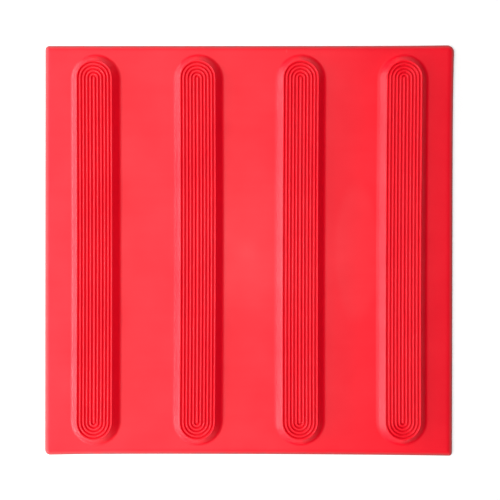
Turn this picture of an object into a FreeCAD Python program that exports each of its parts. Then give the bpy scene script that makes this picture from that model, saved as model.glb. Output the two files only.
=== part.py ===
import FreeCAD, Part
import Sketcher
import os

# Tactile paving slab: a thin square plate with raised guiding bars, moulded in one piece.
# Origin at the middle of the underside, +Z up, bars along Y, sizes in millimetres.

doc = FreeCAD.newDocument("tactile_paving_slab")

# Driving sizes
sizes = doc.addObject("Spreadsheet::Sheet", "sizes")
driving_sizes = [
    ("slab_side", 300),
    ("plate_thickness", 2),
    ("rim_bevel_width", 3),
    ("rim_bevel_drop", 0.9),
    ("rim_edge_radius", 0.4),
    ("inner_corner_radius", 0.5),
    ("bar_count", 4),
    ("bar_height", 5),
    ("bar_end_margin", 7.4),
    ("flank_run", 4.7),
    ("foot_radius", 2),
    ("shoulder_radius", 0.7),
    ("rib_ring_count", 5),
    ("rib_pitch", 2.5),
    ("rib_crest_width", 0.7),
    ("middle_rib_crest_width", 0.94),
    ("outer_rib_crest_width", 0.65),
    ("groove_floor_width", 0.15),
    ("groove_depth", 1.2),
]
for row, (alias, number) in enumerate(driving_sizes, start=1):
    sizes.set("A%d" % row, alias.replace("_", " "))
    sizes.set("B%d" % row, str(number))
    sizes.setAlias("B%d" % row, alias)
doc.recompute()

# Sizes that follow from the driving ones
half_side = "sizes.slab_side / 2"
corner_radius = "sizes.rim_bevel_width + sizes.inner_corner_radius"
bar_pitch = "sizes.slab_side / sizes.bar_count"
first_bar_x = "(sizes.slab_side / sizes.bar_count - sizes.slab_side) / 2"
groove_mouth_half = "(sizes.rib_pitch - sizes.rib_crest_width) / 2"
groove_floor_half = "sizes.groove_floor_width / 2"
groove_floor_z = "sizes.bar_height - sizes.groove_depth"
first_groove_x = "(sizes.middle_rib_crest_width / 2 + " + groove_mouth_half + ")"
ribs_half = "(sizes.middle_rib_crest_width / 2 + sizes.rib_ring_count * sizes.rib_pitch - sizes.rib_crest_width)"
top_half = "(" + ribs_half + " + sizes.outer_rib_crest_width)"
foot_half = "(" + top_half + " + sizes.flank_run)"
straight_half = "(sizes.slab_side / 2 - sizes.bar_end_margin - " + foot_half + ")"


def value(expression):
    return float(sizes.evalExpression(expression))


def sheet_sketch(body, name, role, offsets):
    """Empty sketch on one of the body's origin planes, shifted by sheet expressions."""
    sketch = body.newObject("Sketcher::SketchObject", name)
    plane = [item for item in body.Origin.OriginFeatures if item.Role == role][0]
    sketch.AttachmentSupport = [(plane, "")]
    sketch.MapMode = "FlatFace"
    for axis, expression in offsets.items():
        sketch.setExpression("AttachmentOffset.Base." + axis, expression)
    return sketch


def add_outline(sketch, corners):
    """Closed outline; every corner keeps its sheet distances from the sketch's origin."""
    points = [FreeCAD.Vector(value(across), value(up), 0) for across, up in corners]
    first = sketch.GeometryCount
    for index, point in enumerate(points):
        sketch.addGeometry(Part.LineSegment(point, points[(index + 1) % len(points)]))
    for index in range(len(points)):
        following = first + (index + 1) % len(points)
        sketch.addConstraint(Sketcher.Constraint("Coincident", first + index, 2, following, 1))
    for index, corner in enumerate(corners):
        for kind, axis, expression in (("DistanceX", -2, corner[0]), ("DistanceY", -1, corner[1])):
            amount = value(expression)
            line = first + index
            if amount == 0:
                sketch.addConstraint(Sketcher.Constraint("PointOnObject", line, 1, axis))
            elif amount > 0:
                added = sketch.addConstraint(Sketcher.Constraint(kind, -1, 1, line, 1, amount))
                sketch.setExpression("Constraints[%d]" % added, expression)
            else:
                added = sketch.addConstraint(Sketcher.Constraint(kind, line, 1, -1, 1, -amount))
                sketch.setExpression("Constraints[%d]" % added, "-(" + expression + ")")


def add_groove_sections(sketch, sides):
    """One V-shaped groove section between each rib and the next, on the given sides of the bar."""
    for ring in range(int(value("sizes.rib_ring_count"))):
        for side in sides:
            centre = "%d * (%s + %d * sizes.rib_pitch)" % (side, first_groove_x, ring)
            add_outline(sketch, [
                (centre + " - " + groove_floor_half, groove_floor_z),
                (centre + " + " + groove_floor_half, groove_floor_z),
                (centre + " + " + groove_mouth_half, "sizes.bar_height"),
                (centre + " - " + groove_mouth_half, "sizes.bar_height"),
            ])


def edges_where(feature, test):
    return ["Edge%d" % number for number, edge in enumerate(feature.Shape.Edges, start=1) if test(edge)]


def lowest(edge):
    return min(vertex.Z for vertex in edge.Vertexes)


def highest(edge):
    return max(vertex.Z for vertex in edge.Vertexes)


def rounded(body, name, base, edges, radius):
    fillet = body.newObject("PartDesign::Fillet", name)
    fillet.Base = (base, edges)
    fillet.setExpression("Radius", radius)
    doc.recompute()
    return fillet


slab = doc.addObject("PartDesign::Body", "tactile_slab")
slab.Label = "tactile_slab"
doc.recompute()

# Plate with rounded corners
plate_outline = sheet_sketch(slab, "plate_outline", "XY_Plane", {})
add_outline(plate_outline, [
    ("-" + half_side, "-" + half_side),
    (half_side, "-" + half_side),
    (half_side, half_side),
    ("-" + half_side, half_side),
])
plate = slab.newObject("PartDesign::Pad", "plate")
plate.Profile = plate_outline
plate.setExpression("Length", "sizes.plate_thickness")
doc.recompute()
plate_middle_z = value("sizes.plate_thickness / 2")
upright_edges = edges_where(plate, lambda edge: lowest(edge) < plate_middle_z < highest(edge))
plate_corners = rounded(slab, "plate_corners", plate, upright_edges, corner_radius)

# Rim that slopes down all round, with a rounded outer edge
rim_bevel = slab.newObject("PartDesign::Chamfer", "rim_bevel")
rim_bevel.Base = (plate_corners, edges_where(plate_corners, lambda edge: lowest(edge) > plate_middle_z))
rim_bevel.ChamferType = "Two distances"
rim_bevel.FlipDirection = True
rim_bevel.setExpression("Size", "sizes.rim_bevel_width")
rim_bevel.setExpression("Size2", "sizes.rim_bevel_drop")
doc.recompute()
bevel_middle_z = value("sizes.plate_thickness - sizes.rim_bevel_drop / 2")
rim_edges = edges_where(rim_bevel, lambda edge: lowest(edge) > 0 and highest(edge) < bevel_middle_z)
plate_rim = rounded(slab, "plate_rim", rim_bevel, rim_edges, "sizes.rim_edge_radius")

# First bar: a long middle with a half-round end at each side, all from one sloped section
middle_section = sheet_sketch(slab, "bar_middle_section", "XZ_Plane", {
    "x": first_bar_x,
    "y": "sizes.plate_thickness",
})
add_outline(middle_section, [
    ("-" + foot_half, "0"),
    (foot_half, "0"),
    (top_half, "sizes.bar_height"),
    ("-" + top_half, "sizes.bar_height"),
])
bar_middle = slab.newObject("PartDesign::Pad", "bar_middle")
bar_middle.Profile = middle_section
bar_middle.SideType = "Symmetric"
bar_middle.setExpression("Length", "2 * " + straight_half)
doc.recompute()

bar_features = [bar_middle]
for end_name, shift, turned in (("far", "-" + straight_half, False), ("near", straight_half, True)):
    end_section = sheet_sketch(slab, "bar_%s_end_section" % end_name, "XZ_Plane", {
        "x": first_bar_x,
        "y": "sizes.plate_thickness",
        "z": shift,
    })
    add_outline(end_section, [
        ("0", "0"),
        (foot_half, "0"),
        (top_half, "sizes.bar_height"),
        ("0", "sizes.bar_height"),
    ])
    bar_end = slab.newObject("PartDesign::Revolution", "bar_%s_end" % end_name)
    bar_end.Profile = end_section
    bar_end.ReferenceAxis = (end_section, ["V_Axis"])
    bar_end.Angle = 180
    bar_end.Reversed = turned
    doc.recompute()
    bar_features.append(bar_end)

# Grooves that leave the nested ribs standing on the bar's top
middle_grooves_section = sheet_sketch(slab, "middle_grooves_section", "XZ_Plane", {
    "x": first_bar_x,
    "y": "sizes.plate_thickness",
})
add_groove_sections(middle_grooves_section, (1, -1))
middle_grooves = slab.newObject("PartDesign::Pocket", "middle_grooves")
middle_grooves.Profile = middle_grooves_section
middle_grooves.SideType = "Symmetric"
middle_grooves.setExpression("Length", "2 * " + straight_half)
doc.recompute()
bar_features.append(middle_grooves)

for end_name, shift, turned in (("far", "-" + straight_half, False), ("near", straight_half, True)):
    end_grooves_section = sheet_sketch(slab, "%s_end_grooves_section" % end_name, "XZ_Plane", {
        "x": first_bar_x,
        "y": "sizes.plate_thickness",
        "z": shift,
    })
    add_groove_sections(end_grooves_section, (1,))
    end_grooves = slab.newObject("PartDesign::Groove", "%s_end_grooves" % end_name)
    end_grooves.Profile = end_grooves_section
    end_grooves.ReferenceAxis = (end_grooves_section, ["V_Axis"])
    end_grooves.Angle = 180
    end_grooves.Reversed = turned
    doc.recompute()
    bar_features.append(end_grooves)

# The same bar repeated across the plate
bars = slab.newObject("PartDesign::LinearPattern", "bars")
bars.Originals = bar_features
bars.Direction = (plate_outline, ["H_Axis"])
bars.Mode = "Spacing"
bars.setExpression("Offset", bar_pitch)
bars.setExpression("Occurrences", "sizes.bar_count")
slab.Tip = bars
doc.recompute()

# Rounded feet and shoulders of the bars
clear_of_rim = value(half_side + " - (sizes.bar_end_margin + sizes.rim_bevel_width) / 2")
bar_middle_z = value("sizes.plate_thickness + sizes.bar_height / 2")
groove_middle_z = value("sizes.plate_thickness + sizes.bar_height - sizes.groove_depth / 2")
outer_rib_middle = value(top_half + " - sizes.outer_rib_crest_width / 2")


def on_bar_foot(edge):
    reach = max(max(abs(vertex.X), abs(vertex.Y)) for vertex in edge.Vertexes)
    return reach < clear_of_rim and highest(edge) < bar_middle_z


def on_bar_shoulder(edge):
    if lowest(edge) < groove_middle_z:
        return False
    if isinstance(edge.Curve, Part.Circle):
        return edge.Curve.Radius > outer_rib_middle
    half_pitch = value(bar_pitch) / 2
    across = (edge.Vertexes[0].X - value(first_bar_x) + half_pitch) % value(bar_pitch) - half_pitch
    return abs(across) > outer_rib_middle


bar_feet = rounded(slab, "bar_feet", bars, edges_where(bars, on_bar_foot), "sizes.foot_radius")
shoulder_edges = edges_where(bar_feet, on_bar_shoulder)
bar_shoulders = rounded(slab, "bar_shoulders", bar_feet, shoulder_edges, "sizes.shoulder_radius")
slab.Tip = bar_shoulders
doc.recompute()

# Check and write
for item in doc.Objects:
    if "Invalid" in item.State or "Error" in item.State:
        raise RuntimeError("not built: " + item.Label)
if slab.Shape.isNull() or not slab.Shape.isValid() or len(slab.Shape.Solids) != 1:
    raise RuntimeError("the slab is not one valid solid")

os.makedirs("parts", exist_ok=True)
slab.Shape.exportStep("parts/" + slab.Label + ".step")
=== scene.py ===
import math
import bmesh
import bpy
from mathutils import Matrix, Vector


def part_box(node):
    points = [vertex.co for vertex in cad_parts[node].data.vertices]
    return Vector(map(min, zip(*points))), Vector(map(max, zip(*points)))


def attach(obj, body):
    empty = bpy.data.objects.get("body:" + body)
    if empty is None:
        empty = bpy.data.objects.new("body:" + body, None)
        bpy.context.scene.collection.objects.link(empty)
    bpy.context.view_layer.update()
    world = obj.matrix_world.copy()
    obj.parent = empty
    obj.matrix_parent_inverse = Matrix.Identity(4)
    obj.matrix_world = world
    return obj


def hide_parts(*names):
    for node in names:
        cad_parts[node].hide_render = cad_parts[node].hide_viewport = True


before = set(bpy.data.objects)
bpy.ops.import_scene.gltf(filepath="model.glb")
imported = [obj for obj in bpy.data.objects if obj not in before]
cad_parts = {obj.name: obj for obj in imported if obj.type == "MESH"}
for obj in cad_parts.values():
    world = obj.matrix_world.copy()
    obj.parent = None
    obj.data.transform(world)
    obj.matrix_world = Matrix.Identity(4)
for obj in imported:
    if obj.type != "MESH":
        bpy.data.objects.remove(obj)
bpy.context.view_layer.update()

mm = 0.001

# The slab's plate
# A thin square sheet of red elastomer, moulded in one with the bars that stand on it.
# Its rim slopes down all round so that shoes don't catch it; the soft sheet isn't quite square at its corners.
slab_low, slab_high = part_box("tactile_slab")
half_side = (slab_high.x - slab_low.x) / 2
plate_top = 2.0 * mm
corner_radius = {"near_left": 4.0 * mm, "near_right": 2.4 * mm, "far_right": 5.2 * mm, "far_left": 2.9 * mm}
tightest_corner = 0.4 * mm
corner_steps = 8
side_steps = 32
# How far each side stands out: all along, added at its first end, added at its last end (with how abruptly).
side_drift = {
    "left": (0.10 * mm, 0.30 * mm, 1, 0.0 * mm, 1),
    "right": (-0.15 * mm, -0.65 * mm, 1, 1.10 * mm, 10),
    "near": (0.12 * mm, 0.80 * mm, 12, 1.40 * mm, 3),
    "far": (0.10 * mm, 0.0 * mm, 1, 0.60 * mm, 10),
}
# The rim's section: distance in from the edge, and height.
rim_section = [
    (0.0 * mm, 0.0 * mm),
    (0.0 * mm, 0.70 * mm),
    (0.10 * mm, 0.92 * mm),
    (0.35 * mm, 1.08 * mm),
    (0.80 * mm, 1.22 * mm),
    (2.70 * mm, 1.77 * mm),
    (3.30 * mm, 1.88 * mm),
    (4.20 * mm, 1.95 * mm),
    (4.90 * mm, 1.985 * mm),
    (5.50 * mm, plate_top),
]

slab_mesh = bmesh.new()


def drift(side, along):
    """How far a side stands out at a place along it, from -1 at its first end to 1 at its last."""
    everywhere, first, first_power, last, last_power = side_drift[side]
    return everywhere + first * ((1 - along) / 2) ** first_power + last * ((1 + along) / 2) ** last_power


def plate_outline(inset, height):
    """One closed loop of edges round the plate, set in from its outer edge."""
    reach = half_side - inset
    corners = bmesh.ops.create_grid(slab_mesh, x_segments=1, y_segments=1, size=reach,
                                    matrix=Matrix.Translation((0, 0, height)))["verts"]
    for corner in corners:
        end = "far" if corner.co.y > 0 else "near"
        side = "right" if corner.co.x > 0 else "left"
        radius = max(corner_radius[end + "_" + side] - inset, tightest_corner)
        bmesh.ops.bevel(slab_mesh, geom=[corner], offset=radius, segments=corner_steps, profile=0.5,
                        affect="VERTICES", material=-1)
    sheet = [face for face in slab_mesh.faces if len(face.verts) > 4][0]
    long_edges = [edge for edge in sheet.edges if edge.calc_length() > half_side]
    bmesh.ops.subdivide_edges(slab_mesh, edges=long_edges, cuts=side_steps - 1)
    for vertex in sheet.verts:
        across = max(-1, min(1, vertex.co.x / reach))
        along = max(-1, min(1, vertex.co.y / reach))
        sideways = drift("right", along) if across > 0 else -drift("left", along)
        endways = drift("far", across) if along > 0 else -drift("near", across)
        vertex.co += Vector((sideways * across ** 8, endways * along ** 8, 0))
    loop = sheet.edges[:]
    bmesh.ops.delete(slab_mesh, geom=[sheet], context="FACES_ONLY")
    return loop


rim_loops = [plate_outline(inset, height) for inset, height in rim_section]
for lower, upper in zip(rim_loops, rim_loops[1:]):
    bmesh.ops.bridge_loops(slab_mesh, edges=lower + upper)
bmesh.ops.triangle_fill(slab_mesh, edges=rim_loops[0], use_beauty=True)

# The guiding bars
# Four long bars with round ends, 5 mm high with sloping flanks, part of the same moulding.
# Nested V-shaped grooves leave rounded ribs on each top, which follow the bar's outline and give a wet sole grip.
bar_count = 4
bar_pitch = 2 * half_side / bar_count
bar_top = slab_high.z
end_margin = 7.4 * mm
flank_run = 4.7 * mm
rib_rings = 5
rib_pitch = 2.5 * mm
rib_crest = 0.7 * mm
middle_rib_extra = 0.12 * mm
outer_rib_crest = 0.65 * mm
groove_floor = 0.15 * mm
groove_depth = 1.2 * mm
groove_mouth = rib_pitch - rib_crest
top_half = middle_rib_extra + (rib_rings - 0.5) * rib_pitch + groove_mouth / 2 + outer_rib_crest
foot_half = top_half + flank_run
straight = 2 * (half_side - end_margin - foot_half)
end_steps = 40
crest_rounding = 0.13 * mm
floor_rounding = 0.06 * mm
shoulder_rounding = 0.30 * mm
foot_rounding = 1.45 * mm
foot_apron = 1.65 * mm
straight_steps = 6
# How far each bar lies to the right of its place on the soft sheet: at its middle, added towards its far end (and taken
# off towards its near end), added towards both ends.
bar_sway = [
    (0.42 * mm, 0.0 * mm, -0.43 * mm),
    (0.48 * mm, 0.20 * mm, -0.54 * mm),
    (-0.36 * mm, 0.43 * mm, 0.34 * mm),
    (-0.49 * mm, 0.60 * mm, 0.56 * mm),
]


def bar_section(centre_x, at_y):
    """Half of a bar's cross-section as a chain of edges, from the middle rib out to the plate, with rounded corners."""
    corners = [(0.0, bar_top, 0.0, 0)]
    for ring in range(rib_rings):
        middle = middle_rib_extra + (ring + 0.5) * rib_pitch
        corners.append((middle - groove_mouth / 2, bar_top, crest_rounding, 3))
        corners.append((middle - groove_floor / 2, bar_top - groove_depth, floor_rounding, 2))
        corners.append((middle + groove_floor / 2, bar_top - groove_depth, floor_rounding, 2))
        corners.append((middle + groove_mouth / 2, bar_top, crest_rounding, 3))
    corners.append((top_half, bar_top, shoulder_rounding, 4))
    corners.append((foot_half, plate_top, foot_rounding, 7))
    corners.append((foot_half + foot_apron, plate_top, 0.0, 0))
    chain = [slab_mesh.verts.new((centre_x + out, at_y, height)) for out, height, rounding, steps in corners]
    for pair in zip(chain, chain[1:]):
        slab_mesh.edges.new(pair)
    for vertex, (out, height, rounding, steps) in zip(chain, corners):
        if steps:
            bmesh.ops.bevel(slab_mesh, geom=[vertex], offset=rounding, segments=steps, profile=0.5,
                            affect="VERTICES", material=-1)
    edges = [edge for edge in slab_mesh.edges if edge.is_wire]
    return list(dict.fromkeys(vertex for edge in edges for vertex in edge.verts)) + edges


def raised_bar(centre_x, sway):
    """A bar: its half section spun round one end, drawn along, spun round the other end and drawn back."""
    already = set(slab_mesh.verts)
    section = bar_section(centre_x, straight / 2)
    for end_y, drawn_by in ((straight / 2, -straight), (-straight / 2, straight)):
        spun = bmesh.ops.spin(slab_mesh, geom=section, cent=(centre_x, end_y, 0), axis=(0, 0, 1), angle=math.pi,
                              steps=end_steps)["geom_last"]
        last_edges = [item for item in spun if isinstance(item, bmesh.types.BMEdge)]
        for step in range(straight_steps):
            drawn = bmesh.ops.extrude_edge_only(slab_mesh, edges=last_edges)["geom"]
            moved = [item for item in drawn if isinstance(item, bmesh.types.BMVert)]
            bmesh.ops.translate(slab_mesh, verts=moved, vec=(0, drawn_by / straight_steps, 0))
            last_edges = [item for item in drawn if isinstance(item, bmesh.types.BMEdge)]
        section = moved + last_edges
    at_middle, far_over_near, at_ends = sway
    for vertex in slab_mesh.verts:
        if vertex not in already:
            along = vertex.co.y / (half_side - end_margin)
            vertex.co.x += at_middle + far_over_near * along + at_ends * along ** 2


for number in range(bar_count):
    raised_bar((number - (bar_count - 1) / 2) * bar_pitch, bar_sway[number])
bmesh.ops.remove_doubles(slab_mesh, verts=slab_mesh.verts, dist=0.004 * mm)
open_edges = [edge for edge in slab_mesh.edges if edge.is_boundary]
bmesh.ops.triangle_fill(slab_mesh, edges=open_edges, use_beauty=True, normal=(0, 0, 1))
bmesh.ops.recalc_face_normals(slab_mesh, faces=slab_mesh.faces)

# The red elastomer
# Coloured right through, with the satin skin of an etched mould, which came out a little cloudy.
# A glossier spot in the middle marks where the mould was filled, an oval one where the flow ended; the rim is marked in
# one place at its far side. The rim is painted darker and greyer towards its bottom edge in uneven patches, as painted
# shade, and is rougher there; the grooves between the ribs are painted darker as painted shade and are less glossy.
slab_data = bpy.data.meshes.new("slab")
slab_mesh.to_mesh(slab_data)
slab_mesh.free()
slab_data.polygons.foreach_set("use_smooth", [True] * len(slab_data.polygons))
slab_data.set_sharp_from_angle(angle=math.radians(35))
slab = bpy.data.objects.new("slab", slab_data)
bpy.context.scene.collection.objects.link(slab)

skin_red = (0.90, 0.0006, 0.0155, 1)
# Painted shade for the rim's bottom edge: a greyed red, and a dark grey-red at the very edge.
edge_shade_red = (0.64, 0.051, 0.055, 1)
edge_shade_grey = (0.40, 0.073, 0.077, 1)
skin_roughness = 0.53
skin_specular = 0.17
gloss_roughness = 0.45
gloss_smoothing = -0.13
rim_edge_roughness = 0.12
even_gloss = 0.405
cloud_size = 40.0
cloud_gloss = 0.43
cloud_tone = 0.12
streak_length = 110.0
streak_width = 6.0
streak_gloss = 0.095
filling_spot = (-1.5, 0.0, 0.0)
filling_radius = 12.0
filling_gloss = 0.155
spread_radius = 75.0
spread_gloss = 0.215
flow_end = (79.0, -1.5, 0.0)
flow_half_width = 18.5
flow_half_length = 57.0
flow_gloss = 0.20
rim_mark = (27.4, 145.9, 0.0)
rim_mark_half_width = 0.9
rim_mark_half_length = 2.0
rim_mark_gloss = 0.40
swell_size = 48.0
swell_height = 0.10 * mm
grain_size = 0.4
grain_height = 0.006 * mm
# Painted shade on the rim: the size of its uneven patches, and the heights in mm where it starts and where it is full.
edge_shade_patch_size = 6.0
edge_shade_starts = 1.95
edge_shade_full = 0.85
# Painted shade in the grooves: the heights in mm where it starts and where it is full, how far out from a bar's middle
# it reaches, how much it darkens the colour and how much it takes off the gloss.
groove_shade_starts = bar_top / mm - 0.15
groove_shade_full = bar_top / mm - groove_depth / mm
groove_shade_reach = (top_half - outer_rib_crest / 2) / mm
groove_shade_tone = 0.20
groove_dulling = 0.30

# Marks left by moulding, and painted shade in the grooves and along the rim's bottom edge, worked out from a place on
# the slab in millimetres.
skin_marks = bpy.data.node_groups.new("skin_marks", "ShaderNodeTree")
skin_marks.interface.new_socket("Place", in_out="INPUT", socket_type="NodeSocketVector")
for mark in ("Gloss", "Tone", "Edge Shade", "Swell", "Grain"):
    skin_marks.interface.new_socket(mark, in_out="OUTPUT", socket_type="NodeSocketFloat")
entry = skin_marks.nodes.new("NodeGroupInput")
marks_out = skin_marks.nodes.new("NodeGroupOutput")


def cloudy(name, size, detail, stretch=(1, 1, 1)):
    """Soft uneven patches of about the given size."""
    squeeze = skin_marks.nodes.new("ShaderNodeMapping")
    squeeze.inputs["Scale"].default_value = [1 / (size * along) for along in stretch]
    skin_marks.links.new(entry.outputs["Place"], squeeze.inputs["Vector"])
    patches = skin_marks.nodes.new("ShaderNodeTexNoise")
    patches.name = name
    patches.inputs["Scale"].default_value = 1
    patches.inputs["Detail"].default_value = detail
    skin_marks.links.new(squeeze.outputs["Vector"], patches.inputs["Vector"])
    return patches.outputs["Fac"]


def patch(name, middle, half_width, half_length, core):
    """A mask that is full inside an oval and fades out at its edge."""
    from_middle = skin_marks.nodes.new("ShaderNodeVectorMath")
    from_middle.operation = "SUBTRACT"
    from_middle.inputs[1].default_value = middle
    skin_marks.links.new(entry.outputs["Place"], from_middle.inputs[0])
    in_ovals = skin_marks.nodes.new("ShaderNodeVectorMath")
    in_ovals.operation = "MULTIPLY"
    in_ovals.inputs[1].default_value = (1 / half_width, 1 / half_length, 0)
    skin_marks.links.new(from_middle.outputs["Vector"], in_ovals.inputs[0])
    reach = skin_marks.nodes.new("ShaderNodeVectorMath")
    reach.operation = "LENGTH"
    skin_marks.links.new(in_ovals.outputs["Vector"], reach.inputs[0])
    fade = skin_marks.nodes.new("ShaderNodeMapRange")
    fade.name = name
    fade.interpolation_type = "SMOOTHSTEP"
    fade.inputs["From Min"].default_value = core
    fade.inputs["From Max"].default_value = 1
    fade.inputs["To Min"].default_value = 1
    fade.inputs["To Max"].default_value = 0
    skin_marks.links.new(reach.outputs["Value"], fade.inputs["Value"])
    return fade.outputs["Result"]


def reckon(operation, *parts):
    """One step of arithmetic on numbers or on what other nodes give."""
    step = skin_marks.nodes.new("ShaderNodeMath")
    step.operation = operation
    for socket, part in zip(step.inputs, parts):
        if isinstance(part, (int, float)):
            socket.default_value = part
        else:
            skin_marks.links.new(part, socket)
    return step.outputs["Value"]


def added(mask, amount, start):
    """A mask times an amount, on top of a number or of what was added before."""
    return reckon("MULTIPLY_ADD", mask, amount, start)


place = skin_marks.nodes.new("ShaderNodeSeparateXYZ")
skin_marks.links.new(entry.outputs["Place"], place.inputs["Vector"])
below_crest = skin_marks.nodes.new("ShaderNodeMapRange")
below_crest.inputs["From Min"].default_value = groove_shade_starts
below_crest.inputs["From Max"].default_value = groove_shade_full
skin_marks.links.new(place.outputs["Z"], below_crest.inputs["Value"])
pitch = bar_pitch / mm
from_bar = reckon("WRAP", reckon("ADD", place.outputs["X"], pitch / 2), pitch / 2, -pitch / 2)
past_straight = reckon("MAXIMUM", reckon("SUBTRACT", reckon("ABSOLUTE", place.outputs["Y"]), straight / 2 / mm), 0)
from_axis = reckon("SQRT", reckon("MULTIPLY_ADD", from_bar, from_bar, reckon("POWER", past_straight, 2)))
# Painted shade in the grooves: a mask that is full towards the groove floors on the bar tops.
groove_shade = reckon("MULTIPLY", below_crest.outputs["Result"], reckon("LESS_THAN", from_axis, groove_shade_reach))

clouds = cloudy("clouds", cloud_size, 3)
streaks = cloudy("streaks", 1, 1, (streak_length, streak_width, 1000))
gloss = added(clouds, cloud_gloss, even_gloss - (cloud_gloss + streak_gloss) / 2)
gloss = added(streaks, streak_gloss, gloss)
gloss = added(patch("filling spot", filling_spot, filling_radius, filling_radius, 0.0), filling_gloss, gloss)
gloss = added(patch("spread", filling_spot, spread_radius, spread_radius, 0.0), spread_gloss, gloss)
gloss = added(patch("flow end", flow_end, flow_half_width, flow_half_length, 0.7), flow_gloss, gloss)
gloss = added(patch("rim mark", rim_mark, rim_mark_half_width, rim_mark_half_length, 0.2), rim_mark_gloss, gloss)
gloss = reckon("MULTIPLY", gloss, added(groove_shade, -groove_dulling, 1))
skin_marks.links.new(gloss, marks_out.inputs["Gloss"])
# Tone: the random clouds, times the painted shade that darkens the grooves.
tone = reckon("MULTIPLY", added(clouds, cloud_tone, 1 - cloud_tone / 2), added(groove_shade, -groove_shade_tone, 1))
skin_marks.links.new(tone, marks_out.inputs["Tone"])
skin_marks.links.new(cloudy("swell", swell_size, 0), marks_out.inputs["Swell"])
skin_marks.links.new(cloudy("grain", grain_size, 2), marks_out.inputs["Grain"])

# Painted shade on the rim: a mask that is full towards the rim's bottom edge, in uneven patches.
rim_edge_shade = skin_marks.nodes.new("ShaderNodeMapRange")
rim_edge_shade.interpolation_type = "SMOOTHSTEP"
rim_edge_shade.inputs["From Min"].default_value = edge_shade_starts
rim_edge_shade.inputs["From Max"].default_value = edge_shade_full
skin_marks.links.new(place.outputs["Z"], rim_edge_shade.inputs["Value"])
uneven_edge_shade = skin_marks.nodes.new("ShaderNodeMath")
uneven_edge_shade.operation = "MULTIPLY"
uneven_edge_shade.use_clamp = True
skin_marks.links.new(rim_edge_shade.outputs["Result"], uneven_edge_shade.inputs[0])
skin_marks.links.new(added(cloudy("edge shade patches", edge_shade_patch_size, 3), 0.8, 0.6), uneven_edge_shade.inputs[1])
skin_marks.links.new(uneven_edge_shade.outputs["Value"], marks_out.inputs["Edge Shade"])

red = bpy.data.materials.new("red_elastomer")
red.use_nodes = True
skin = red.node_tree.nodes["Principled BSDF"]
join = red.node_tree.links.new
on_slab = red.node_tree.nodes.new("ShaderNodeTexCoord")
in_millimetres = red.node_tree.nodes.new("ShaderNodeMapping")
in_millimetres.inputs["Scale"].default_value = (1 / mm, 1 / mm, 1 / mm)
join(on_slab.outputs["Object"], in_millimetres.inputs["Vector"])
marks = red.node_tree.nodes.new("ShaderNodeGroup")
marks.node_tree = skin_marks
join(in_millimetres.outputs["Vector"], marks.inputs["Place"])

# The skin's red, turning to a greyed red and a dark grey-red as painted shade towards the rim's bottom edge.
shade = red.node_tree.nodes.new("ShaderNodeValToRGB")
shade.color_ramp.elements[0].color = skin_red
shade.color_ramp.elements[1].color = edge_shade_grey
shade.color_ramp.elements.new(0.6).color = edge_shade_red
join(marks.outputs["Edge Shade"], shade.inputs["Fac"])
toned = red.node_tree.nodes.new("ShaderNodeHueSaturation")
join(shade.outputs["Color"], toned.inputs["Color"])
join(marks.outputs["Tone"], toned.inputs["Value"])
join(toned.outputs["Color"], skin.inputs["Base Color"])

skin.inputs["Specular IOR Level"].default_value = skin_specular
skin.inputs["Coat Roughness"].default_value = gloss_roughness
join(marks.outputs["Gloss"], skin.inputs["Coat Weight"])

smoothness = red.node_tree.nodes.new("ShaderNodeMath")
smoothness.operation = "MULTIPLY_ADD"
smoothness.inputs[1].default_value = gloss_smoothing
smoothness.inputs[2].default_value = skin_roughness
join(marks.outputs["Gloss"], smoothness.inputs[0])
# The rim is made rougher where its painted shade lies.
rim_roughened = red.node_tree.nodes.new("ShaderNodeMath")
rim_roughened.operation = "MULTIPLY_ADD"
rim_roughened.inputs[1].default_value = rim_edge_roughness
join(marks.outputs["Edge Shade"], rim_roughened.inputs[0])
join(smoothness.outputs["Value"], rim_roughened.inputs[2])
join(rim_roughened.outputs["Value"], skin.inputs["Roughness"])

swells = red.node_tree.nodes.new("ShaderNodeBump")
swells.inputs["Distance"].default_value = swell_height
join(marks.outputs["Swell"], swells.inputs["Height"])
grained = red.node_tree.nodes.new("ShaderNodeBump")
grained.inputs["Distance"].default_value = grain_height
join(marks.outputs["Grain"], grained.inputs["Height"])
join(swells.outputs["Normal"], grained.inputs["Normal"])
join(grained.outputs["Normal"], skin.inputs["Normal"])

slab_data.materials.append(red)
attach(slab, "root")
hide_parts("tactile_slab")

# The floor
# A plain white sheet under and all round the slab, which keeps its shadow.
# It is lifted a little further to white for the camera and for what mirrors it, and sends no more light to the slab.
floor_lift = 0.10
floor_mesh = bmesh.new()
bmesh.ops.create_grid(floor_mesh, x_segments=1, y_segments=1, size=3.0)
floor_data = bpy.data.meshes.new("floor")
floor_mesh.to_mesh(floor_data)
floor_mesh.free()
floor = bpy.data.objects.new("floor", floor_data)
bpy.context.scene.collection.objects.link(floor)
white = bpy.data.materials.new("white_floor")
white.use_nodes = True
paper = white.node_tree.nodes["Principled BSDF"]
paper.inputs["Base Color"].default_value = (0.97, 0.97, 0.97, 1)
paper.inputs["Roughness"].default_value = 0.9
paper.inputs["Emission Color"].default_value = (1, 1, 1, 1)
ray = white.node_tree.nodes.new("ShaderNodeLightPath")
seen = ray.outputs["Is Camera Ray"]
for mirrored in ("Is Glossy Ray", "Is Transmission Ray"):
    either = white.node_tree.nodes.new("ShaderNodeMath")
    either.operation = "ADD"
    white.node_tree.links.new(seen, either.inputs[0])
    white.node_tree.links.new(ray.outputs[mirrored], either.inputs[1])
    seen = either.outputs["Value"]
lift = white.node_tree.nodes.new("ShaderNodeMath")
lift.operation = "MULTIPLY"
lift.inputs[1].default_value = floor_lift
white.node_tree.links.new(seen, lift.inputs[0])
white.node_tree.links.new(lift.outputs["Value"], paper.inputs["Emission Strength"])
floor_data.materials.append(white)

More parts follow.
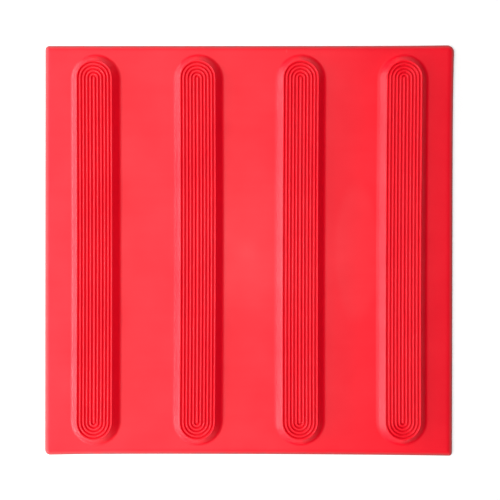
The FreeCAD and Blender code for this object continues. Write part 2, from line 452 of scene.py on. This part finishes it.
# The light
# A low bright strip along the left and a broad panel above it, as from a window, a soft panel overhead that reaches
# to the left, and a weak one low at the near left corner. The right side and the room stay dark.
low_left_level = 10.8
low_left_place = (-1.0, 0.0, 0.13)
low_left_size = (2.0, 0.26)
high_left_level = 2.4
high_left_place = (-0.84, 0.0, 0.60)
high_left_size = (1.8, 0.55)
overhead_level = 2.75
overhead_place = (-0.22, 0.0, 1.05)
overhead_size = (0.85, 1.9)
near_level = 3.0
near_place = (-0.60, -0.76, 0.26)
near_size = (0.8, 0.38)
room_glow = 0.0


def soft_panel(name, place, aim, size, level):
    """A glowing rectangle of an even level, turned to face a point."""
    panel = bpy.data.lights.new(name, "AREA")
    panel.shape = "RECTANGLE"
    panel.size, panel.size_y = size
    panel.energy = level * math.pi * size[0] * size[1]
    holder = bpy.data.objects.new(name, panel)
    bpy.context.scene.collection.objects.link(holder)
    holder.location = place
    holder.rotation_euler = (Vector(aim) - Vector(place)).to_track_quat("-Z", "Y").to_euler()


soft_panel("low_left", low_left_place, (0, 0, low_left_place[2]), low_left_size, low_left_level)
soft_panel("high_left", high_left_place, (0, 0, 0), high_left_size, high_left_level)
soft_panel("overhead", overhead_place, (overhead_place[0], 0, 0), overhead_size, overhead_level)
soft_panel("near", near_place, (0, 0, 0), near_size, near_level)
world = bpy.data.worlds.new("studio")
world.use_nodes = True
world.node_tree.nodes["Background"].inputs["Color"].default_value = (1, 1, 1, 1)
world.node_tree.nodes["Background"].inputs["Strength"].default_value = room_glow
bpy.context.scene.world = world

# The camera
# Close above the slab and looking straight down, so that the bars' flanks show more the further out they stand.
image_width = 500
plate_scale = 1.3628
camera_height = 400.0
nadir_px = (270.0, 235.0)
slab_middle_px = (249.2, 249.95)
camera_data = bpy.data.cameras.new("camera")
camera_data.sensor_width = 36.0
camera_data.lens = plate_scale * camera_height / image_width * camera_data.sensor_width
camera_data.shift_x = (image_width / 2 - nadir_px[0]) / image_width
camera_data.shift_y = (nadir_px[1] - image_width / 2) / image_width
camera_data.clip_start = 0.01
camera = bpy.data.objects.new("camera", camera_data)
camera.location = (
    (nadir_px[0] - slab_middle_px[0]) / plate_scale * mm,
    (slab_middle_px[1] - nadir_px[1]) / plate_scale * mm,
    plate_top + camera_height * mm,
)
bpy.context.scene.collection.objects.link(camera)
bpy.context.scene.camera = camera
bpy.context.scene.view_settings.view_transform = "Standard"
